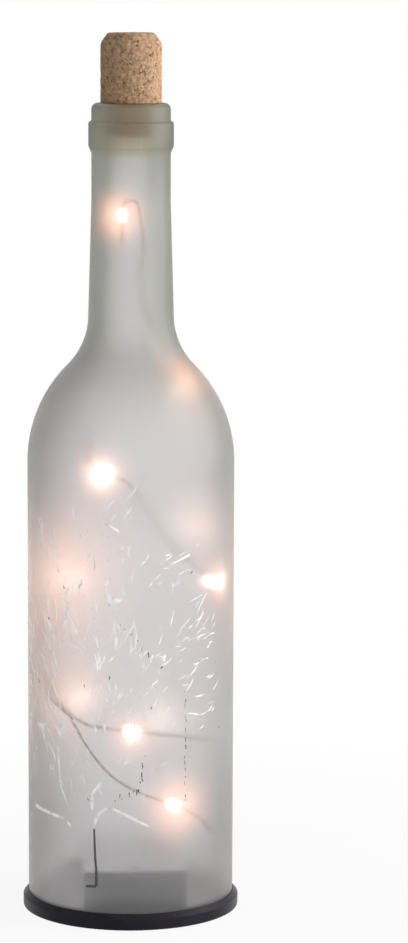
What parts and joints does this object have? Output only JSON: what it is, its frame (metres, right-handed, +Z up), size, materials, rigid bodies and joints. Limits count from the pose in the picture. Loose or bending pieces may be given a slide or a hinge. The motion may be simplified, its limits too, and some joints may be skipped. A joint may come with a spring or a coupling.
{
  "type": "cork bottle light",
  "caption": "Frosted wine-bottle light with a pull-out cork, a black base holding the cells, a slide switch and a string of warm micro lamps inside.",
  "frame": {"origin": "centre of the standing ring under the base", "axes": "+Z up along the bottle axis, front towards -Y, battery door hinge along X at +Y"},
  "size_m": [0.08, 0.08, 0.3231],
  "materials": {
    "frosted_glass": "frosted, light grey, rough",
    "glue": "clear-black silicone bead",
    "cork": "agglomerated cork, matt, with small pits",
    "black_plastic": "moulded black plastic, satin",
    "black_door": "moulded black plastic, fine grain",
    "steel_screw": "zinc plated steel",
    "cell_sleeve": "plain dark printed film with no words",
    "cell_metal": "nickel plated steel",
    "contact_metal": "nickel plated spring steel",
    "board_green": "glass fibre board with solder mask",
    "chip_black": "moulded epoxy",
    "crystal_metal": "plated can",
    "resistor_body": "fired ceramic with tinned ends",
    "capacitor_body": "plain fired ceramic",
    "switch_metal": "tinned sheet steel",
    "switch_phenolic": "brown phenolic sheet",
    "terminal_metal": "tinned brass",
    "knob_plastic": "moulded black plastic",
    "red_insulation": "red insulation",
    "black_insulation": "black insulation",
    "copper_wire": "enamelled copper, brown",
    "lamp_resin": "clear resin drop, lit warm",
    "lamp_chip": "lamp chip, lit warm",
    "hot_melt": "milky hot-melt glue"
  },
  "bodies": {
    "light_body": {"glass_bottle": "frosted_glass", "sealing_ring": "glue", "base_disc": "black_plastic", "box_cover": "black_plastic", "cover_screws": "steel_screw", "battery_cells": "cell_sleeve", "cell_caps": "cell_metal", "contact_springs": "contact_metal", "positive_plate": "contact_metal", "negative_plate": "contact_metal", "rear_bridge_plate": "contact_metal", "front_bridge_plate": "contact_metal", "circuit_board": "board_green", "timer_chip": "chip_black", "crystal_can": "crystal_metal", "resistors": "resistor_body", "capacitor": "capacitor_body", "switch_shell": "switch_metal", "switch_board": "switch_phenolic", "switch_terminals": "terminal_metal", "switch_screws": "steel_screw", "red_lead": "red_insulation", "black_lead": "black_insulation", "light_wire": "copper_wire", "led_beads": "lamp_resin", "led_chips": "lamp_chip", "wire_seal": "hot_melt"},
    "cork": {"cork": "cork"},
    "door": {"battery_door": "black_door"},
    "switch": {"switch_slider": "knob_plastic"}
  },
  "joints": [
    {"name": "cork_pull", "type": "slide", "parent": "light_body", "child": "cork", "axis": [0, 0, 1], "range_m": [0, 0.07]},
    {"name": "door_hinge", "type": "hinge", "parent": "light_body", "child": "door", "pos_m": [0, 0.029, 0.0022], "axis": [1, 0, 0], "range_deg": [0, 85]},
    {"name": "switch_slide", "type": "slide", "parent": "light_body", "child": "switch", "axis": [0, 1, 0], "range_m": [0, 0.004]}
  ]
}
